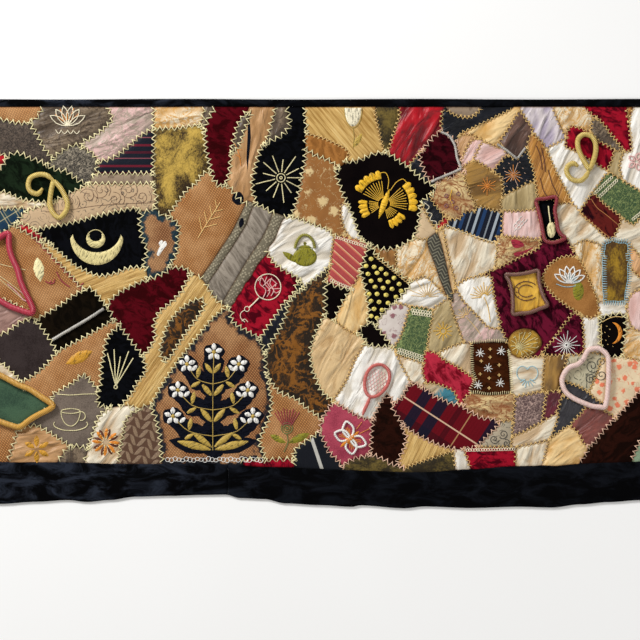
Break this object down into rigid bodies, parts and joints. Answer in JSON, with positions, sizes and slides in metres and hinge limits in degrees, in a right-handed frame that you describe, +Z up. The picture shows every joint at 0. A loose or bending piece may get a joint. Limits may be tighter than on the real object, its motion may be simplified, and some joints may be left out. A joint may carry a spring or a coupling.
{
  "type": "crazy quilt",
  "caption": "Flat pieced crazy quilt of silk, velvet and wool patches with couched cord motifs and a wide black velvet border on three sides.",
  "frame": {"origin": "under the middle of the quilt, at the level of the surface that it lies on", "axes": "+X along the lower border, +Y from the lower border up the quilt, +Z up from the surface, out of the pieced side"},
  "size_m": [0.94, 0.5115, 0.0112],
  "materials": {
    "patchwork": "wool twill, silk, satin and velvet patches",
    "black_velvet": "cotton velvet with a short blue-grey sheen",
    "gold_cord": "silk-wrapped padded cord",
    "pink_cord": "silk-wrapped padded cord",
    "crimson_cord": "silk-wrapped padded cord",
    "amber_cord": "silk-wrapped padded cord",
    "red_cord": "silk-wrapped padded cord",
    "brown_cord": "silk-wrapped padded cord",
    "coral_cord": "silk-wrapped padded cord"
  },
  "bodies": {
    "root": {"pieced_top": "patchwork", "lower_border_left": "black_velvet", "lower_border_right": "black_velvet", "side_border_left": "black_velvet", "side_border_right": "black_velvet", "upper_binding": "black_velvet", "scroll_left": "gold_cord", "scroll_right": "gold_cord", "heart_cord": "pink_cord", "pennant_cord": "crimson_cord", "arrow_cord": "amber_cord", "spoon_frame": "red_cord", "charm_frame": "brown_cord", "racket_cord": "coral_cord"}
  },
  "joints": []
}
